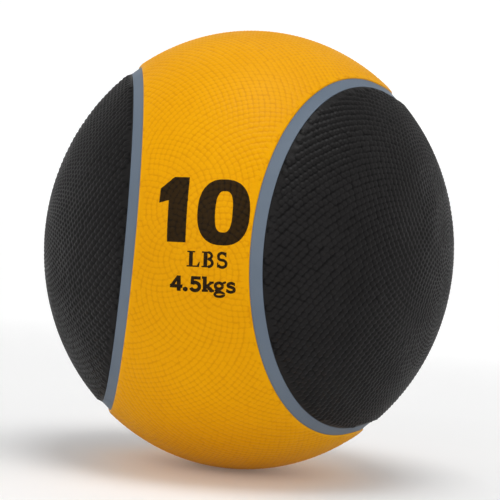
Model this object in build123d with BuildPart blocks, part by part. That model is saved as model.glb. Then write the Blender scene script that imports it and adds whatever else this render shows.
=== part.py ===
from build123d import *
import math
import os

# A hollow rubber medicine ball. X runs through the two side covers, -Y is the front of the
# centre band and +Z is up. The origin is the centre of the ball. All sizes are in millimetres.

# The ball
RADIUS = 115.0  # half height and half depth
HALF_WIDTH = 107.0  # along X, where the side covers are a little flat

# Layers, from the outside in
COVER = 3.0  # rubber covers
GROOVE_DEPTH = 1.2  # how far the groove strips lie below the covers
BALLAST = 27.0  # weighted rubber wall
WINDING = 1.0  # nylon cord wound on the bladder
BLADDER = 2.0  # butyl rubber

# Outline of a groove's outer edge, as rays from the ball's centre. It is an oval with a round
# end towards the front and one towards the rear, which meet over the top and under the bottom.
END_RADIUS = 53.1  # degrees, the angular radius of a round end
END_TILT = 23.0  # degrees, from the X axis to the middle of a round end
END_GAP = 0.2  # how far each end stops short of the middle, over the ball's radius
END_POINTS = 20  # points on each end; the curve bridges the gaps between the ends
GROOVE_ANGLE = 3.05  # degrees, the width of a groove strip seen from the centre
CONE_START = 10.0  # the stretch of X over which an outline is lofted into a cone
CONE_END = 120.0

# Joint between the halves of the ballast shell
TONGUE_WIDTH = 9.0
TONGUE_HEIGHT = 6.0

# Valve, along +Y
BOOT_RADIUS = 6.0
FLANGE_RADIUS = 15.0
FLANGE_THICKNESS = 2.0
NECK_RADIUS = 4.5  # where the boot comes up through the cover
NECK_RECESS = 0.5  # how far the neck ends below the cover's face
CORE_RADIUS = 2.75
CORE_LENGTH = 26.0
CORE_RECESS = 1.3  # how far the core ends below the cover's face
FOOT_RADIUS = 3.75  # the bulge that keeps the core in the boot
FOOT_HEIGHT = 4.0
NEEDLE_RADIUS = 0.95
NEEDLE_DEPTH = 20.0
AIRWAY_RADIUS = 1.5  # from the core's foot to the inside of the bladder

# Planes through the centre, each facing the side of the ball it is named after, and the plane that
# the ball is turned on, which puts its seam under the ball and its poles at the front and the rear
FRONT, REAR, RIGHT = Plane.XZ, Plane.ZX, Plane.YZ
BALL_PLANE = Plane(origin=(0, 0, 0), x_dir=(0, 0, -1), z_dir=(0, 1, 0))

ballast_top = COVER
winding_top = ballast_top + BALLAST
bladder_top = winding_top + WINDING
air_top = bladder_top + BLADDER
core_top = RADIUS - CORE_RECESS
core_end = core_top - CORE_LENGTH


def ball(depth):
    """The ball within a depth below its face."""
    with BuildPart(BALL_PLANE) as made:
        Sphere(RADIUS - depth)
        scale(by=((HALF_WIDTH - depth) / (RADIUS - depth), 1, 1))
    return made.part


def wall(top, floor, *cuts):
    """The ball's wall between two depths, on the upper side of each of the cutting planes."""
    with BuildPart() as made:
        add(ball(top))
        add(ball(floor), mode=Mode.SUBTRACT)
        for cut in cuts:
            split(bisect_by=cut)
    return made.part


def rear_disc(top, floor, radius):
    """The round piece of the wall about the valve's axis, between two depths."""
    with BuildPart() as made:
        add(wall(top, floor, REAR))
        with BuildSketch(Plane.ZX):
            Circle(radius)
        extrude(amount=RADIUS, mode=Mode.INTERSECT)
    return made.part


def outline(x, inset):
    """Points (y, z) where the rays of an outline, drawn in by inset degrees, cross a plane at x."""
    angle, tilt = math.radians(END_RADIUS - inset), math.radians(END_TILT)
    front = []
    for k in range(END_POINTS + 1):
        turn = math.pi * (1 - 2 * k / END_POINTS)
        along, across = math.cos(angle), math.sin(angle) * math.cos(turn)
        ray_x = along * math.cos(tilt) - across * math.sin(tilt)
        ray_y = -along * math.sin(tilt) - across * math.cos(tilt)
        ray_z = math.sin(angle) * math.sin(turn)
        if ray_y < -END_GAP:
            front.append((x * ray_y / ray_x, x * ray_z / ray_x))
    rear = [(-y, z) for y, z in reversed(front)]
    return front + rear


def outline_cone(inset):
    """The space inside the right cover's outline: a cone of rays from the ball's centre."""
    with BuildPart() as made:
        for x in (CONE_START, CONE_END):
            with BuildSketch(Plane.YZ.offset(x)):
                with BuildLine():
                    Spline(*outline(x, inset), periodic=True)
                make_face()
        loft(ruled=True)
    return made.part


def write(made, label):
    made.part.label = label
    export_step(made.part, f"parts/{label}.step")


def write_image(made, plane, label):
    """Writes the mirror image of a piece."""
    with BuildPart() as image:
        add(mirror(made.part, about=plane, mode=Mode.PRIVATE))
    write(image, label)


os.makedirs("parts", exist_ok=True)

groove_space = outline_cone(0)
cover_space = outline_cone(GROOVE_ANGLE)

# Outer skin: a cover and a groove strip on each side, and the two halves of the centre band
with BuildPart() as side_cover:
    add(ball(0))
    add(cover_space, mode=Mode.INTERSECT)
    add(ball(COVER), mode=Mode.SUBTRACT)
write(side_cover, "side_cover_right")
write_image(side_cover, RIGHT, "side_cover_left")

with BuildPart() as groove_strip:
    add(ball(GROOVE_DEPTH))
    add(groove_space, mode=Mode.INTERSECT)
    add(cover_space, mode=Mode.SUBTRACT)
    add(ball(COVER), mode=Mode.SUBTRACT)
write(groove_strip, "groove_strip_right")
write_image(groove_strip, RIGHT, "groove_strip_left")

with BuildPart() as centre_band_front:
    add(wall(0, COVER, FRONT))
    add(groove_space, mode=Mode.SUBTRACT)
    add(mirror(groove_space, about=RIGHT, mode=Mode.PRIVATE), mode=Mode.SUBTRACT)
write(centre_band_front, "centre_band_front")

with BuildPart() as centre_band_rear:
    add(mirror(centre_band_front.part, about=FRONT, mode=Mode.PRIVATE))
    with BuildSketch(Plane.ZX):
        Circle(NECK_RADIUS)
    extrude(amount=2 * RADIUS, mode=Mode.SUBTRACT)
write(centre_band_rear, "centre_band_rear")

# Space that the valve takes in the wall: a neck, a sleeve and a flange on the bladder
with BuildPart() as valve_space:
    add(rear_disc(NECK_RECESS, ballast_top, NECK_RADIUS))
    add(rear_disc(ballast_top, bladder_top, BOOT_RADIUS))
    add(rear_disc(bladder_top - FLANGE_THICKNESS, bladder_top, FLANGE_RADIUS))

# Ballast shell, whose halves meet in a tongue and groove
with BuildPart() as tongue:
    with BuildSketch(Plane.ZX):
        outside = ballast_top + (BALLAST - TONGUE_WIDTH) / 2
        inside = outside + TONGUE_WIDTH
        Ellipse(RADIUS - outside, HALF_WIDTH - outside)
        Ellipse(RADIUS - inside, HALF_WIDTH - inside, mode=Mode.SUBTRACT)
    extrude(amount=TONGUE_HEIGHT)

with BuildPart() as ballast_shell_front:
    add(wall(ballast_top, winding_top, FRONT))
    add(tongue.part)
write(ballast_shell_front, "ballast_shell_front")

with BuildPart() as ballast_shell_rear:
    add(wall(ballast_top, winding_top, REAR))
    add(tongue.part, mode=Mode.SUBTRACT)
    add(valve_space.part, mode=Mode.SUBTRACT)
write(ballast_shell_rear, "ballast_shell_rear")

# Winding and bladder, with the way for the air through the bladder
with BuildPart() as nylon_winding:
    add(wall(winding_top, bladder_top))
    add(valve_space.part, mode=Mode.SUBTRACT)
write(nylon_winding, "nylon_winding")

with BuildPart() as airway:
    with BuildSketch(Plane.ZX):
        Circle(AIRWAY_RADIUS)
    extrude(amount=core_end)

with BuildPart() as bladder:
    add(wall(bladder_top, air_top))
    add(airway.part, mode=Mode.SUBTRACT)
write(bladder, "bladder")

# Valve: a core with a bulged foot, and the boot round it
with BuildPart() as plug:
    for radius, height in ((CORE_RADIUS, CORE_LENGTH), (FOOT_RADIUS, FOOT_HEIGHT)):
        with BuildSketch(Plane.ZX.offset(core_end)):
            Circle(radius)
        extrude(amount=height)

with BuildPart() as valve_boot:
    add(valve_space.part)
    add(plug.part, mode=Mode.SUBTRACT)
    with BuildSketch(Plane.ZX.offset(core_top)):
        Circle(CORE_RADIUS)
    extrude(amount=CORE_RECESS, mode=Mode.SUBTRACT)
    add(airway.part, mode=Mode.SUBTRACT)
write(valve_boot, "valve_boot")

with BuildPart() as valve_core:
    add(plug.part)
    with BuildSketch(Plane.ZX.offset(core_top)):
        Circle(NEEDLE_RADIUS)
    extrude(amount=-NEEDLE_DEPTH, mode=Mode.SUBTRACT)
write(valve_core, "valve_core")
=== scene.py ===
"""A pebbled rubber medicine ball: two black round ends, a yellow centre band and sunken grey grooves."""

import math

import bpy
import numpy as np
from mathutils import Matrix, Vector
from mathutils.geometry import delaunay_2d_cdt
from mathutils.kdtree import KDTree


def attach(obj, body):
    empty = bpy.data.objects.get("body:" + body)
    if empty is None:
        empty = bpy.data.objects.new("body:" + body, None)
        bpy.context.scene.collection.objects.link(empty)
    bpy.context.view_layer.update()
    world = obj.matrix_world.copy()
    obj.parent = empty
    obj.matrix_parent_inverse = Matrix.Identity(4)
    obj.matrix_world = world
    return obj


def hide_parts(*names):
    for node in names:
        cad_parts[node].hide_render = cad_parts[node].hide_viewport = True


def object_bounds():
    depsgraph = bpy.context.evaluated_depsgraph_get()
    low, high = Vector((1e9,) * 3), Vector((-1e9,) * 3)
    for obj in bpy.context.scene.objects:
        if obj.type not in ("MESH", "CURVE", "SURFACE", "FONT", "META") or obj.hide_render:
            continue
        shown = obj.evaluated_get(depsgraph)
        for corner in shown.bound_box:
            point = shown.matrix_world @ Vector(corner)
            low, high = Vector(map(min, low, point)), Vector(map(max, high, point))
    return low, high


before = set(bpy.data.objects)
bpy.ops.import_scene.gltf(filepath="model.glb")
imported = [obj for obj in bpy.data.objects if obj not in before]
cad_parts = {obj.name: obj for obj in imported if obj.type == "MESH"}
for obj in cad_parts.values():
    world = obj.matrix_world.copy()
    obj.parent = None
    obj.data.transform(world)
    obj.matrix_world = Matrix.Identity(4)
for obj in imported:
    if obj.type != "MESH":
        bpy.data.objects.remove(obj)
cad_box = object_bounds()

MM = 0.001
RADIUS = cad_box[1].z
HALF_WIDTH = cad_box[1].x

# The grooves' course: each round end is two caps, tilted to the front and to the rear, joined smoothly.
END_RADIUS = math.radians(53.1)
END_TILT = math.radians(23.0)
END_GAP = 0.2
GROOVE_ANGLE = math.radians(3.05)

# An outline is found by halving an angle, and measured at many samples before its even points are laid.
HALVINGS = 40
OUTLINE_SAMPLES = 4001
EDGE_STEP = 0.8 * MM

# The skin's thickness and its edges. Rows of points lie beside each edge, and a point is kept if it is
# further from every edge than ROW_SHARE of its row's distance. The pebbles' points clear the last row.
COVER = 3.0 * MM
EDGE_ROWS = (0.12 * MM, 0.3 * MM, 0.55 * MM, 0.9 * MM)
ROW_SHARE = 0.85
ROW_CLEARANCE = 0.3 * MM
GROOVE_ROUNDING = 0.7 * MM
SEAM_ROUNDING = 0.2 * MM

# A skin's inner face is coarse: the area that one of its points has, and its distance from the edges.
INNER_AREA = 40 * MM * MM
INNER_MARGIN = 2 * MM

# The groove strip's face, with its two rims a little higher than the middle.
GROOVE_DEPTH = 1.2 * MM
STRIP_RIM = 0.16 * MM
STRIP_HOLLOW = 0.22 * MM
STRIP_FLATNESS = 4
STRIP_ROWS = 15
STRIP_POINTS = 720

# Pebbles: the area of each, their height, the smooth margins, and how far each strays, in pitches.
BLACK_PEBBLE_AREA = 8.3 * MM * MM
YELLOW_PEBBLE_AREA = 7.0 * MM * MM
BLACK_RELIEF = 0.85 * MM
YELLOW_RELIEF = 0.32 * MM
PEBBLE_MARGIN = 2.1 * MM
SEAM_MARGIN = 1.3 * MM
PEBBLE_JITTER = 0.045

# A pebble falls from its centre to CORNER_REACH pitches away, by the power PEBBLE_CROWN. The painted shade
# in its pit is gone at MARGIN_REACH pitches, after fading over MARGIN_FADE. Lines longer than
# NEIGHBOUR_REACH pitches don't join neighbours.
CORNER_REACH = 0.58
PEBBLE_CROWN = 2.0
MARGIN_REACH = 0.85
MARGIN_FADE = 0.2
NEIGHBOUR_REACH = 2

# The turn from each point of a seed head to the next.
GOLDEN_TURN = math.pi * (3 - math.sqrt(5))

VALVE_HOLE = 4.5 * MM
VALVE_ROUNDING = 0.6 * MM
VALVE_POINTS = 72

# What the triangulation is asked for, and the distance below which it joins points.
WHOLE_HULL = 0
INSIDE_THE_LOOPS = 1
SAME_POINT = 1e-8

random = np.random.default_rng(10)


# ---- The ball's shape ----

def unit(vectors):
    return vectors / np.linalg.norm(vectors, axis=1, keepdims=True)


def inset(directions):
    """The angle by which each direction lies inside a round end's outer edge, negative on the band."""
    across, along = np.abs(directions[:, 0]), np.abs(directions[:, 1])
    along = np.where(along > END_GAP, along, (along ** 2 + END_GAP ** 2) / (2 * END_GAP))
    cosine = math.cos(END_TILT) * across + math.sin(END_TILT) * along
    return END_RADIUS - np.arccos(np.clip(cosine, -1, 1))


def on_ball(directions, depth):
    """The point in each direction from the centre, at a depth below the ball's surface."""
    across = directions[:, 0] / (HALF_WIDTH - depth)
    around = np.hypot(directions[:, 1], directions[:, 2]) / (RADIUS - depth)
    return directions / np.hypot(across, around)[:, None]


def ray(side, angle, bearing):
    """Directions at an angle from the X axis and a bearing about it, where a quarter turn is up."""
    sine = np.sin(angle)
    return np.stack([side * np.cos(angle), sine * np.cos(bearing), sine * np.sin(bearing)], 1)


def outline(side, depth_angle, bearing):
    """Where a round end's inset is depth_angle, one direction for each bearing."""
    low, high = np.zeros(len(bearing)), np.full(len(bearing), math.pi / 2)
    for _ in range(HALVINGS):
        middle = (low + high) / 2
        inside = inset(ray(side, middle, bearing)) > depth_angle
        low = np.where(inside, middle, low)
        high = np.where(inside, high, middle)
    return ray(side, low, bearing)


def even_outline(side, depth_angle, first, last, step=EDGE_STEP):
    """Evenly spaced directions along a round end's outline between two bearings, without the last one."""
    bearing = np.linspace(first, last, OUTLINE_SAMPLES)
    points = on_ball(outline(side, depth_angle, bearing), 0)
    length = np.concatenate([[0], np.cumsum(np.linalg.norm(np.diff(points, axis=0), axis=1))])
    count = round(length[-1] / step)
    even = np.interp(np.arange(count) * length[-1] / count, length, bearing)
    return outline(side, depth_angle, even)


class Chart:
    """A flat, angle-true map of the ball about one pole, in metres, and the way back."""

    def __init__(self, pole, right):
        self.pole = np.array(pole, float)
        self.axes = np.array([right, np.cross(pole, right), pole], float)

    def flat(self, directions):
        local = directions @ self.axes.T
        return 2 * RADIUS * local[:, :2] / (1 + local[:, 2:])

    def stretch(self, points):
        return 1 + (points ** 2).sum(1, keepdims=True) / (2 * RADIUS) ** 2

    def lift(self, points):
        half = points / (2 * RADIUS)
        square = (half ** 2).sum(1, keepdims=True)
        return unit(np.hstack([2 * half, 1 - square]) @ self.axes)


FRONT = Chart((0, -1, 0), (1, 0, 0))
REAR = Chart((0, 1, 0), (-1, 0, 0))
RIGHT = Chart((1, 0, 0), (0, 1, 0))
LEFT = Chart((-1, 0, 0), (0, -1, 0))


# ---- Meshes ----

def triangulate(loops, marks, free):
    """Triangles inside the loops that use every point, and follow the lines of the loops and the marks.

    Returns the points, the faces and, for each loop, the numbers of its points.
    """
    lines = [*loops, *marks]
    points = np.vstack([*lines, free])
    edges = []
    start = 0
    for line in lines:
        count = len(line)
        edges += [(start + i, start + (i + 1) % count) for i in range(count)]
        start += count
    vectors = [Vector(p) for p in points.tolist()]
    found = delaunay_2d_cdt(vectors, edges, [], INSIDE_THE_LOOPS, SAME_POINT, True)
    flat = np.array([v[:] for v in found[0]])
    faces = np.array(found[2])
    place = np.zeros(len(points), int)
    for new, olds in enumerate(found[3]):
        place[olds] = new
    a, b, c = flat[faces[:, 0]], flat[faces[:, 1]], flat[faces[:, 2]]
    turn = (b[:, 0] - a[:, 0]) * (c[:, 1] - a[:, 1]) - (b[:, 1] - a[:, 1]) * (c[:, 0] - a[:, 0])
    faces[turn < 0] = faces[turn < 0][:, ::-1]
    loop_places = []
    start = 0
    for loop in loops:
        loop_places.append(place[start:start + len(loop)].tolist())
        start += len(loop)
    return flat, faces, loop_places


def phyllotaxis(chart, area, reach):
    """Evenly spread directions about a chart's pole, out to an angle, in the curved rows of a seed head."""
    count = int(2 * math.pi * RADIUS ** 2 * (1 - math.cos(reach)) / area)
    index = np.arange(count)
    cosine = 1 - (index + 0.5) * area / (2 * math.pi * RADIUS ** 2)
    sine = np.sqrt(1 - cosine ** 2)
    turn = index * GOLDEN_TURN
    return np.stack([sine * np.cos(turn), sine * np.sin(turn), cosine], 1) @ chart.axes


def subdivided(chart, centres, pitch):
    """The pebbles' centres, points that quarter each line between neighbours, and three in each triangle."""
    flat = chart.flat(centres)
    found = delaunay_2d_cdt([Vector(p) for p in flat.tolist()], [], [], WHOLE_HULL, SAME_POINT, True)
    faces = np.array(found[2])
    flat = np.array([v[:] for v in found[0]])
    world = on_ball(chart.lift(flat), 0)
    edges = np.sort(np.vstack([faces[:, [0, 1]], faces[:, [1, 2]], faces[:, [2, 0]]]), 1)
    edges = np.unique(edges, axis=0)
    short = np.linalg.norm(world[edges[:, 0]] - world[edges[:, 1]], axis=1) < NEIGHBOUR_REACH * pitch
    a, b = flat[edges[short, 0]], flat[edges[short, 1]]
    parts = [flat] + [a + (b - a) * t for t in (0.25, 0.5, 0.75)]
    corners = world[faces]
    longest = np.max([np.linalg.norm(corners[:, i] - corners[:, i - 1], axis=1) for i in range(3)], axis=0)
    a, b, c = (flat[faces[longest < NEIGHBOUR_REACH * pitch, i]] for i in range(3))
    parts += [(2 * a + b + c) / 4, (a + 2 * b + c) / 4, (a + b + 2 * c) / 4]
    return np.vstack(parts)


def tree_of(points):
    tree = KDTree(len(points))
    for i, point in enumerate(points.tolist()):
        tree.insert(point, i)
    tree.balance()
    return tree


def rows_inside(chart, loop):
    """Rows of points beside an edge, for its rounding, and how far each point lies from it."""
    along = np.roll(loop, -1, 0) - np.roll(loop, 1, 0)
    inward = unit(np.stack([-along[:, 1], along[:, 0]], 1)) * chart.stretch(loop)
    return np.vstack([loop + inward * row for row in EDGE_ROWS]), np.repeat(EDGE_ROWS, len(loop))


def rounding(distance, radius):
    """How far a rounded edge has dropped at a distance from it."""
    short = np.clip(radius - distance, 0, radius)
    return radius - np.sqrt(radius ** 2 - short ** 2)


def add_mesh(name, points, faces, sunk=None):
    mesh = bpy.data.meshes.new(name)
    mesh.from_pydata(points.tolist(), [], faces)
    mesh.polygons.foreach_set("use_smooth", np.ones(len(mesh.polygons), bool))
    # The sunk attribute holds painted shade for the pits between the pebbles.
    if sunk is not None:
        mesh.attributes.new("sunk", "FLOAT", "POINT").data.foreach_set("value", sunk.astype(np.float32))
    mesh.validate()
    piece = bpy.data.objects.new(name, mesh)
    bpy.context.scene.collection.objects.link(piece)
    return piece


def between(directions, faces, top, bottom):
    """A closed film over some faces, from one depth to another.

    Returns the numbers of the points that it covers, its own points and its own faces.
    """
    used, faces = np.unique(faces, return_inverse=True)
    faces = faces.reshape(-1, 3)
    edges = np.vstack([faces[:, [0, 1]], faces[:, [1, 2]], faces[:, [2, 0]]])
    known = {tuple(e) for e in edges.tolist()}
    count = len(used)
    walls = [(a + count, b + count, b, a) for a, b in known if (b, a) not in known]
    points = np.vstack([on_ball(directions[used], top[used]), on_ball(directions[used], bottom[used])])
    return used, points, faces.tolist() + (faces[:, ::-1] + count).tolist() + walls


def outside_hole(flat, faces, hole):
    """The faces whose middles lie outside a round hole about the pole, or all of them if there is none."""
    if not hole:
        return faces
    return faces[np.linalg.norm(flat[faces].mean(1), axis=1) > hole]


def skin(name, chart, loops, groove_distance, pebble_area, relief, hole=None, marks=()):
    """One moulded rubber skin with its pebbles, rounded edges, walls and inner face.

    Returns the piece and its outer face: flat points, directions, faces, depths and shades.
    """
    flat_loops = [chart.flat(loop) for loop in loops]
    pitch = math.sqrt(pebble_area * 2 / math.sqrt(3))

    def edge_distances(directions):
        """Distances from the groove, from the seam between the half bands and from the valve's hole."""
        far = np.full(len(directions), RADIUS)
        seam = RADIUS * np.abs(directions[:, 1]) if chart in (FRONT, REAR) else far
        valve = np.linalg.norm(chart.flat(directions), axis=1) - hole if hole else far
        return groove_distance(directions), seam, valve

    def clear(directions, clearance):
        return np.min(edge_distances(directions), axis=0) > clearance

    centres = phyllotaxis(chart, pebble_area, math.pi / 2)
    centres = unit(centres + random.normal(0, PEBBLE_JITTER * pitch / RADIUS, centres.shape))
    groove, seam, valve = edge_distances(centres)
    pebbled = (groove > PEBBLE_MARGIN) & (seam > SEAM_MARGIN) & (valve > PEBBLE_MARGIN)
    centres = centres[(centres @ chart.pole > 0) & pebbled]

    fine = subdivided(chart, centres, pitch)
    free = [fine[clear(chart.lift(fine), EDGE_ROWS[-1] + ROW_CLEARANCE)]]
    for loop in flat_loops:
        rows, distances = rows_inside(chart, loop)
        free.append(rows[clear(chart.lift(rows), ROW_SHARE * distances)])
    flat, faces, loop_places = triangulate(flat_loops, marks, np.vstack(free))
    faces = outside_hole(flat, faces, hole)

    directions = chart.lift(flat)
    tree = tree_of(on_ball(centres, 0))
    nearest = np.array([tree.find(p)[2] for p in on_ball(directions, 0).tolist()])
    sunk = np.minimum(1, nearest / (CORNER_REACH * pitch)) ** PEBBLE_CROWN
    # shade is painted shade: it darkens the colour in the pits between pebbles, and fades out on the smooth
    # margins.
    shade = sunk * np.clip((MARGIN_REACH - nearest / pitch) / MARGIN_FADE, 0, 1)
    groove, seam, valve = edge_distances(directions)
    depth = relief * sunk + rounding(groove, GROOVE_ROUNDING)
    depth += rounding(seam, SEAM_ROUNDING) + rounding(valve, VALVE_ROUNDING)

    coarse = phyllotaxis(chart, INNER_AREA, math.pi / 2)
    coarse = chart.flat(coarse[clear(coarse, INNER_MARGIN)])
    inner_flat, inner_faces, inner_places = triangulate(flat_loops, (), coarse)
    inner_faces = outside_hole(inner_flat, inner_faces, hole)
    inner = on_ball(chart.lift(inner_flat), COVER)

    count = len(flat)
    walls = []
    for upper, lower in zip(loop_places, inner_places):
        walls += [(lower[i - 1] + count, lower[i] + count, upper[i], upper[i - 1])
                  for i in range(len(upper))]
    solid = faces.tolist() + (inner_faces[:, ::-1] + count).tolist() + walls
    points = np.vstack([on_ball(directions, depth), inner])
    # The painted pit shade is stored in the mesh's sunk attribute, which the rubber colours read.
    piece = add_mesh(name, points, solid, np.concatenate([shade, np.zeros(len(inner))]))
    return piece, flat, directions, faces, depth, shade


def cover(name, chart, side):
    """The black skin of one round end, inside its groove."""
    loop = even_outline(side, GROOVE_ANGLE, 0, 2 * math.pi)
    if side < 0:
        loop = loop[::-1]

    def groove_distance(directions):
        return RADIUS * (inset(directions) - GROOVE_ANGLE)

    return skin(name, chart, [loop], groove_distance, BLACK_PEBBLE_AREA, BLACK_RELIEF)[0]


def band_loop(facing):
    """A half band's edge, anticlockwise as seen from outside: over the top, down one groove and back."""
    quarter, three = math.pi / 2, 3 * math.pi / 2
    if facing < 0:
        down = even_outline(-1, 0, quarter, three)
        up = even_outline(1, 0, three, quarter)
    else:
        down = even_outline(1, 0, quarter, -quarter)
        up = even_outline(-1, 0, -quarter, quarter)
    end = outline(1, 0, np.array([quarter]))[0]
    half = math.atan2(end[0], end[2])
    count = round(2 * half * RADIUS / EDGE_STEP)
    turn = np.linspace(half, -half, count, endpoint=False) * -facing
    over = np.stack([np.sin(turn), np.zeros(count), np.cos(turn)], 1)
    return np.vstack([over, down, over * (-1, 1, -1), up])


def band(name, chart, facing, hole=None, marks=()):
    """The front or rear half of the yellow skin, with what skin returns."""
    loops = [band_loop(facing)]
    if hole:
        turn = np.linspace(2 * math.pi, 0, VALVE_POINTS, endpoint=False)
        loops.append(chart.lift(hole * np.stack([np.cos(turn), np.sin(turn)], 1)))

    def groove_distance(directions):
        return -RADIUS * inset(directions)

    return skin(name, chart, loops, groove_distance, YELLOW_PEBBLE_AREA, YELLOW_RELIEF, hole, marks)


def groove_strip(name, side):
    """A smooth recessed strip, its face slightly hollow, as one closed ring."""
    across = np.linspace(0, 1, STRIP_ROWS)
    hollow = STRIP_HOLLOW * (1 - np.abs(2 * across - 1) ** STRIP_FLATNESS)
    bearing = np.linspace(0, 2 * math.pi, STRIP_POINTS + 1)[:-1]
    rings = [on_ball(outline(side, t * GROOVE_ANGLE, bearing), GROOVE_DEPTH - STRIP_RIM + h)
             for t, h in zip(across, hollow)]
    rings += [on_ball(outline(side, t * GROOVE_ANGLE, bearing), COVER) for t in across[::-1]]
    count, turns = len(bearing), len(rings)
    faces = []
    for r in range(turns):
        s = (r + 1) % turns
        for i in range(count):
            j = (i + 1) % count
            quad = (r * count + i, s * count + i, s * count + j, r * count + j)
            faces.append(quad if side < 0 else quad[::-1])
    return add_mesh(name, np.vstack(rings), faces)


# ---- The weight mark ----

PRINT_TILT = math.radians(2)
INK_STEP = 0.35 * MM
INK_RISE = 0.05 * MM
MARK_REACH = 45 * MM
SHARPEST_MITRE = 0.5

# The two rows of small letters: their base above the front pole, and their size, in millimetres.
UNIT_BASE, UNIT_HEIGHT = -11.9, 7.2
METRIC_BASE, METRIC_HEIGHT = -23.2, 7.0


def arc(centre, radii, first, last, count=14):
    turn = np.radians(np.linspace(first, last, count))
    return [(centre[0] + radii[0] * math.cos(t), centre[1] + radii[1] * math.sin(t)) for t in turn]


def superellipse(centre, radii, power, count=96):
    turn = np.linspace(0, 2 * math.pi, count, endpoint=False)
    x = np.sign(np.cos(turn)) * np.abs(np.cos(turn)) ** (2 / power)
    y = np.sign(np.sin(turn)) * np.abs(np.sin(turn)) ** (2 / power)
    return np.stack([centre[0] + radii[0] * x, centre[1] + radii[1] * y], 1)


def stroke(points, width):
    """The outline of a pen line of one width, with square ends."""
    points = np.array(points, float)
    ahead = np.vstack([np.diff(points, axis=0), points[-1:] - points[-2:-1]])
    behind = np.vstack([points[1:2] - points[:1], np.diff(points, axis=0)])
    along = unit(unit(ahead) + unit(behind))
    square = np.stack([-along[:, 1], along[:, 0]], 1)
    mitre = np.clip((along * unit(ahead)).sum(1), SHARPEST_MITRE, 1)[:, None]
    offset = square * width / 2 / mitre
    return np.vstack([points + offset, (points - offset)[::-1]])


# Each letter is a list of closed outlines in a frame where capitals and figures stand one unit high.

def letter_l():
    return [stroke([(0.27, 0), (0.27, 1)], 0.25), stroke([(0, 0.045), (0.8, 0.045)], 0.09),
            stroke([(0.02, 0.955), (0.52, 0.955)], 0.09),
            np.array([(0.62, 0.02), (0.82, 0.02), (0.86, 0.33), (0.8, 0.33)])]


def letter_b():
    return [stroke([(0.24, 0), (0.24, 1)], 0.25), stroke([(0, 0.955), (0.45, 0.955)], 0.09),
            stroke([(0, 0.045), (0.45, 0.045)], 0.09), stroke([(0.3, 0.525), (0.44, 0.525)], 0.09),
            stroke(arc((0.4, 0.745), (0.23, 0.21), 90, -90), 0.16),
            stroke(arc((0.42, 0.285), (0.27, 0.24), 90, -90), 0.18)]


def letter_s_capital():
    spine = (arc((0.33, 0.75), (0.23, 0.2), 20, 200, 12) + arc((0.33, 0.72), (0.25, 0.22), 215, 250, 4)
             + arc((0.36, 0.26), (0.25, 0.24), 70, -20, 8)
             + arc((0.35, 0.25), (0.26, 0.21), -30, -165, 12))
    return [stroke(spine, 0.18), stroke([(0.57, 0.7), (0.57, 1)], 0.08),
            stroke([(0.07, 0.02), (0.07, 0.33)], 0.08)]


def figure_four():
    return [stroke([(0.62, -0.02), (0.62, 1)], 0.28), stroke([(0, 0.3), (0.88, 0.3)], 0.23),
            stroke([(0.6, 0.95), (0.1, 0.28)], 0.21)]


def full_stop():
    return [superellipse((0.14, 0.12), (0.17, 0.16), 2, 20)]


def figure_five():
    bowl = [(0.2, 0.5)] + arc((0.36, 0.33), (0.3, 0.27), 105, -160, 18)
    return [stroke([(0.12, 0.9), (0.74, 0.9)], 0.22),
            stroke([(0.2, 0.98), (0.16, 0.45)], 0.21), stroke(bowl, 0.24)]


def letter_k():
    return [stroke([(0.2, 0), (0.2, 1.02)], 0.26), stroke([(0, 0.08), (0.42, 0.08)], 0.16),
            stroke([(0, 0.94), (0.25, 0.94)], 0.16), stroke([(0.24, 0.3), (0.66, 0.64)], 0.18),
            stroke([(0.34, 0.4), (0.72, 0.04)], 0.24), stroke([(0.5, 0.08), (0.82, 0.08)], 0.16),
            stroke([(0.5, 0.63), (0.8, 0.63)], 0.15)]


def letter_g():
    return [stroke(arc((0.32, 0.43), (0.24, 0.2), 0, 360, 24), 0.2),
            stroke([(0.5, 0.58), (0.78, 0.7)], 0.15),
            stroke([(0.2, 0.22), (0.14, 0.12), (0.24, 0.06), (0.5, 0.05)], 0.17),
            stroke(arc((0.36, -0.14), (0.31, 0.15), 0, 360, 24), 0.17)]


def letter_s_small():
    spine = (arc((0.32, 0.5), (0.2, 0.14), 30, 215, 12) + arc((0.32, 0.19), (0.22, 0.17), 80, -30, 8)
             + arc((0.3, 0.2), (0.24, 0.16), -45, -165, 10))
    return [stroke(spine, 0.2), stroke([(0.53, 0.46), (0.53, 0.68)], 0.1),
            stroke([(0.06, 0.02), (0.06, 0.24)], 0.1)]


def placed(shapes, corner, height):
    """A letter's shapes at their place and size on the band, in millimetres from the front pole."""
    turned = []
    for shape in shapes:
        x, z = (np.array(corner) + np.array(shape) * height).T * MM
        turned.append(np.stack([x * math.cos(PRINT_TILT) - z * math.sin(PRINT_TILT),
                                x * math.sin(PRINT_TILT) + z * math.cos(PRINT_TILT)], 1))
    return turned


def even_loop(loop, step):
    """The same closed line with points no further apart than the step."""
    parts = []
    for start, end in zip(loop, np.roll(loop, -1, 0)):
        count = max(1, math.ceil(np.linalg.norm(end - start) / step))
        parts.append(start + (end - start) * np.arange(count)[:, None] / count)
    return np.vstack(parts)


def row_of(letters, base, height):
    """A row of letters, each given with its distance along the row."""
    shapes = []
    for letter, x in letters:
        shapes += placed(letter, (x, base), height)
    return shapes


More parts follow.
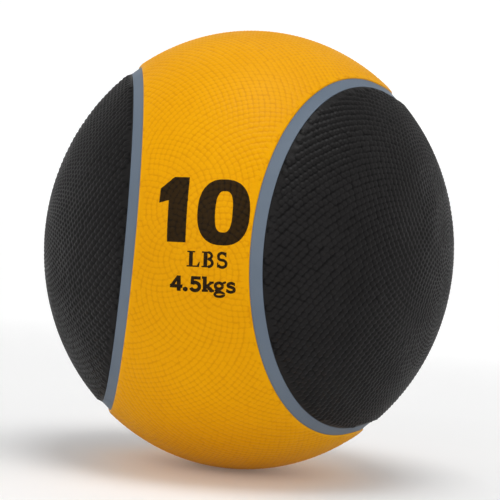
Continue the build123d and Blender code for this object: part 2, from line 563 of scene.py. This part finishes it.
def weight_mark():
    """The printed shapes: for each film its filled outlines and the outlines left open inside them."""
    one = np.array([(-2.6, 29.4), (-10.1, 29.4), (-16.5, 23.7), (-16.5, 16.9), (-11.7, 18.2),
                    (-11.0, -1.0), (-2.0, -1.0)])
    number = placed([one, superellipse((14.8, 13.8), (12.1, 15.4), 2.45)], (0, 0), 1)
    counter = placed([superellipse((14.9, 13.9), (4.0, 9.6), 2.8)], (0, 0), 1)
    unit_letters = ((letter_l(), -1.0), (letter_b(), 6.0), (letter_s_capital(), 12.9))
    metric_letters = ((figure_four(), -9.0), (full_stop(), -2.5), (figure_five(), 0.6),
                      (letter_k(), 6.3), (letter_g(), 12.0), (letter_s_small(), 17.6))
    return {"printed_number": (number, counter),
            "printed_unit": (row_of(unit_letters, UNIT_BASE, UNIT_HEIGHT), []),
            "printed_metric": (row_of(metric_letters, METRIC_BASE, METRIC_HEIGHT), [])}


def inside(loop, points):
    """Which points lie inside a closed line, by counting crossings."""
    within = np.zeros(len(points), bool)
    for (x1, y1), (x2, y2) in zip(loop, np.roll(loop, -1, 0)):
        if y1 != y2:
            crosses = (y1 > points[:, 1]) != (y2 > points[:, 1])
            within ^= crosses & (points[:, 0] < (x2 - x1) * (points[:, 1] - y1) / (y2 - y1) + x1)
    return within


# ---- Materials ----

def rgb(red, green, blue):
    """A colour given as screen values from 0 to 255."""
    values = [v / 255 for v in (red, green, blue)]
    return (*[v / 12.92 if v <= 0.04045 else ((v + 0.055) / 1.055) ** 2.4 for v in values], 1)


class Material:
    """A small builder of shader nodes round one Principled surface."""

    def __init__(self, name):
        self.made = bpy.data.materials.new(name)
        self.made.use_nodes = True
        self.tree = self.made.node_tree
        self.surface = self.tree.nodes["Principled BSDF"]

    def add(self, kind, settings=(), **inputs):
        node = self.tree.nodes.new(kind)
        for key, value in dict(settings).items():
            setattr(node, key, value)
        for key, value in inputs.items():
            self.put(value, node.inputs[key])
        return node

    def put(self, value, socket):
        if isinstance(value, bpy.types.NodeSocket):
            self.tree.links.new(value, socket)
        else:
            socket.default_value = value

    def noise(self, scale, detail=3.0, roughness=0.55):
        place = self.add("ShaderNodeTexCoord").outputs["Object"]
        node = self.add("ShaderNodeTexNoise", Vector=place, Scale=scale, Detail=detail,
                        Roughness=roughness)
        return node.outputs["Fac"]

    def ramp(self, value, low, high, first, last):
        node = self.add("ShaderNodeMapRange", {"clamp": True}, Value=value)
        for key, number in (("From Min", low), ("From Max", high), ("To Min", first), ("To Max", last)):
            node.inputs[key].default_value = number
        return node.outputs["Result"]

    def mix(self, factor, first, second):
        """A blend of two colours. A Mix node's colour sockets share their names, so they go by place."""
        node = self.add("ShaderNodeMix", {"data_type": "RGBA"})
        self.put(factor, node.inputs[0])
        self.put(first, node.inputs[6])
        self.put(second, node.inputs[7])
        return node.outputs[2]

    def bump(self, height, strength, distance, normal=None):
        node = self.add("ShaderNodeBump", Height=height, Strength=strength, Distance=distance)
        if normal:
            self.put(normal, node.inputs["Normal"])
        return node.outputs["Normal"]


def rubber(name, colour, worn, pit_shade, roughness, pit_shading=0.9, specular=0.5):
    """Moulded rubber: cloudy colour, a fine grain, dusty bloom and painted shade that darkens the pits
    between the pebbles.

    The pit colour is painted shade, and the number after the roughness is how much of it shows where the
    mesh is sunk, or 0 for a piece with no pebbles.
    """
    m = Material(name)
    cloud = m.ramp(m.noise(22, 4), 0.35, 0.65, 0, 1)
    fine = m.noise(900, 4, 0.6)
    tone = m.mix(cloud, colour, worn)
    tone = m.mix(m.ramp(fine, 0.58, 0.75, 0, 0.25), tone, worn)
    # Painted shade: where the mesh is sunk, the colour is darkened toward the pit colour.
    if pit_shading:
        sunk = m.add("ShaderNodeAttribute", {"attribute_name": "sunk"}).outputs["Fac"]
        tone = m.mix(m.ramp(sunk, 0.4, 0.95, 0, pit_shading), tone, pit_shade)
    m.put(tone, m.surface.inputs["Base Color"])
    patchy = m.ramp(m.noise(60, 5), 0.3, 0.7, roughness - 0.06, roughness + 0.07)
    m.put(patchy, m.surface.inputs["Roughness"])
    m.surface.inputs["Specular IOR Level"].default_value = specular
    grain = m.bump(fine, 0.35, 0.00012)
    m.put(m.bump(m.noise(2600, 2), 0.2, 0.00005, grain), m.surface.inputs["Normal"])
    return m.made


def winding_cord(name):
    """Nylon cord wound in crossing turns and dipped in latex."""
    m = Material(name)
    place = m.add("ShaderNodeTexCoord").outputs["Object"]
    normal = None
    tone = rgb(205, 198, 178)
    for turn in ((0.0, 0.0, 0.0), (0.9, 0.4, 0.0), (0.3, 1.1, 0.7)):
        turned = m.add("ShaderNodeMapping", Vector=place, Rotation=turn).outputs["Vector"]
        wave = m.add("ShaderNodeTexWave", {"bands_direction": "Z"}, Vector=turned, Scale=150.0,
                     Distortion=1.5)
        cord = wave.outputs["Fac"]
        # Painted shade: each set of turns darkens the colour toward a darker tan in the low parts of its
        # waves, the hollows between the cords.
        tone = m.mix(m.ramp(cord, 0.0, 0.35, 0.45, 0), tone, rgb(140, 128, 100))
        normal = m.bump(cord, 0.5, 0.0004, normal)
    m.put(tone, m.surface.inputs["Base Color"])
    m.put(m.ramp(m.noise(300), 0.3, 0.7, 0.45, 0.7), m.surface.inputs["Roughness"])
    m.put(normal, m.surface.inputs["Normal"])
    m.surface.inputs["Sheen Weight"].default_value = 0.2
    return m.made


# The third colour of each rubber is painted shade for its pits: the yellow, black and ink show it, and the
# rest leave it unused.
YELLOW = rubber("yellow_rubber", rgb(221, 153, 0), rgb(225, 158, 0), rgb(196, 124, 0), 0.45, 0.6,
                specular=0.05)
BLACK = rubber("black_rubber", rgb(25, 24, 24), rgb(31, 30, 30), rgb(2, 2, 2), 0.4, 1, specular=0.08)
GREY = rubber("grey_rubber", rgb(96, 108, 122), rgb(103, 114, 127), rgb(80, 90, 100), 0.5, pit_shading=0,
              specular=0.1)
INK = rubber("print_ink", rgb(38, 24, 2), rgb(46, 30, 4), rgb(16, 9, 1), 0.45, specular=0.08)
BALLAST = rubber("ballast_rubber", rgb(38, 36, 35), rgb(60, 57, 54), rgb(30, 28, 27), 0.8, pit_shading=0)
BUTYL = rubber("butyl", rgb(24, 24, 26), rgb(44, 44, 46), rgb(18, 18, 18), 0.42, pit_shading=0)
VALVE = rubber("valve_rubber", rgb(30, 29, 29), rgb(42, 41, 41), rgb(18, 18, 18), 0.5, pit_shading=0)
CORD = winding_cord("winding_cord")


def dress(piece, material):
    piece.data.materials.clear()
    piece.data.materials.append(material)


def finish_piece(piece, material, slot, *nodes):
    dress(piece, material)
    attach(piece, "root")
    if nodes:
        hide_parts(*nodes)


# ---- The object ----

def add_ends():
    for name, chart, side in (("right", RIGHT, 1), ("left", LEFT, -1)):
        black = cover("pebbled_cover_" + name, chart, side)
        finish_piece(black, BLACK, "black_cover", "side_cover_" + name)
        grey = groove_strip("groove_inlay_" + name, side)
        finish_piece(grey, GREY, "groove_rubber", "groove_strip_" + name)


def add_printed_front():
    """The front half band, whose mesh follows the printed outlines, and the ink films laid on it."""
    mark = weight_mark()
    lines = []
    for films, holes in mark.values():
        lines += [even_loop(loop, INK_STEP) for loop in [*films, *holes]]
    piece, flat, directions, faces, depth, shade = band("pebbled_band_front", FRONT, -1, marks=lines)
    finish_piece(piece, YELLOW, "yellow_cover", "centre_band_front")
    middle = flat[faces].mean(1)
    close = np.linalg.norm(middle, axis=1) < MARK_REACH
    for name, (films, holes) in mark.items():
        inked = np.zeros(len(faces), bool)
        for loop in films:
            inked[close] |= inside(loop, middle[close])
        for loop in holes:
            inked[close] &= ~inside(loop, middle[close])
        used, points, film_faces = between(directions, faces[inked], depth - INK_RISE, depth + INK_RISE)
        # The ink films carry the band's painted pit shade, so the ink is darker in the pits too.
        finish_piece(add_mesh(name, points, film_faces, np.tile(shade[used], 2)), INK, "print_ink")


def add_rear():
    piece = band("pebbled_band_rear", REAR, 1, hole=VALVE_HOLE)[0]
    finish_piece(piece, YELLOW, "yellow_cover", "centre_band_rear")


def dress_inner_pieces():
    """Materials for the pieces under the skin, which keep their own shape."""
    materials = {"ballast_shell_front": BALLAST, "ballast_shell_rear": BALLAST, "nylon_winding": CORD,
                 "bladder": BUTYL, "valve_boot": VALVE, "valve_core": VALVE}
    for name, material in materials.items():
        dress(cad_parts[name], material)


# ---- Floor, light and camera ----

# The floor glows faintly, from a little near the ball to more at a distance, in metres.
GLOW_DISTANCES = (0.3, 1.7)
GLOW_STRENGTHS = (0.08, 0.36)

CAMERA_DISTANCE = 6.69 * RADIUS
LENS, SENSOR = 104.58, 36


def floor_material():
    m = Material("studio_floor")
    m.put(m.mix(m.noise(3), (0.86, 0.86, 0.86, 1), (0.88, 0.88, 0.88, 1)), m.surface.inputs["Base Color"])
    m.surface.inputs["Roughness"].default_value = 0.9
    m.surface.inputs["Emission Color"].default_value = (1, 1, 1, 1)
    place = m.add("ShaderNodeTexCoord").outputs["Object"]
    away = m.add("ShaderNodeVectorMath", {"operation": "LENGTH"})
    m.put(place, away.inputs[0])
    glow = m.ramp(away.outputs["Value"], *GLOW_DISTANCES, *GLOW_STRENGTHS)
    m.put(glow, m.surface.inputs["Emission Strength"])
    return m.made


def studio_floor():
    """A flat round floor whose rim curves up all the way round."""
    flat_radius, rim_radius, height = 2.2, 1.2, 1.6
    profile = [(0.001, 0), (flat_radius / 2, 0), (flat_radius, 0)]
    profile += [(flat_radius + rim_radius * math.sin(t), rim_radius * (1 - math.cos(t)))
                for t in np.radians(np.arange(10, 91, 10))]
    profile.append((flat_radius + rim_radius, height))
    turns = 96
    points, faces = [], []
    for radius, rise in profile:
        for i in range(turns):
            t = 2 * math.pi * i / turns
            points.append((radius * math.cos(t), radius * math.sin(t), rise - RADIUS))
    for r in range(len(profile) - 1):
        for i in range(turns):
            j = (i + 1) % turns
            faces.append((r * turns + i, r * turns + j, (r + 1) * turns + j, (r + 1) * turns + i))
    floor = add_mesh("studio_floor", np.array(points), faces)
    dress(floor, floor_material())


def soft_light(name, place, size, power):
    """A square soft lamp that points at the ball."""
    lamp = bpy.data.lights.new(name, "AREA")
    lamp.size = size
    lamp.energy = power
    thing = bpy.data.objects.new(name, lamp)
    thing.location = place
    thing.rotation_euler = (-Vector(place)).to_track_quat("-Z", "Y").to_euler()
    bpy.context.scene.collection.objects.link(thing)


def studio_lights():
    world = bpy.data.worlds.new("studio")
    world.use_nodes = True
    background = world.node_tree.nodes["Background"]
    background.inputs["Color"].default_value = (1, 1, 1, 1)
    background.inputs["Strength"].default_value = 0.5
    bpy.context.scene.world = world
    bpy.context.scene.view_settings.view_transform = "Standard"
    soft_light("top_light", place=(0.2, -0.4, 1.5), size=0.8, power=12.5)
    soft_light("front_light", place=(-0.35, -1.95, 0.8), size=1.0, power=4.4)


def camera():
    """The ball seen a little from the right and from just below its middle, with the camera rolled."""
    azimuth, elevation, roll = math.radians(13.89), math.radians(-1.01), math.radians(4.99)
    back = Vector((math.sin(azimuth) * math.cos(elevation), -math.cos(azimuth) * math.cos(elevation),
                   math.sin(elevation)))
    level = Vector((math.cos(azimuth), math.sin(azimuth), 0))
    upright = back.cross(level)
    right = level * math.cos(roll) + upright * math.sin(roll)
    up = upright * math.cos(roll) - level * math.sin(roll)
    seen = bpy.data.cameras.new("photo_camera")
    seen.lens = LENS
    seen.sensor_width = SENSOR
    thing = bpy.data.objects.new("photo_camera", seen)
    turned = Matrix((right, up, back)).transposed().to_4x4()
    thing.matrix_world = Matrix.Translation(back * CAMERA_DISTANCE) @ turned
    bpy.context.scene.collection.objects.link(thing)
    bpy.context.scene.camera = thing


camera()
add_ends()
add_printed_front()
add_rear()
dress_inner_pieces()
studio_floor()
studio_lights()
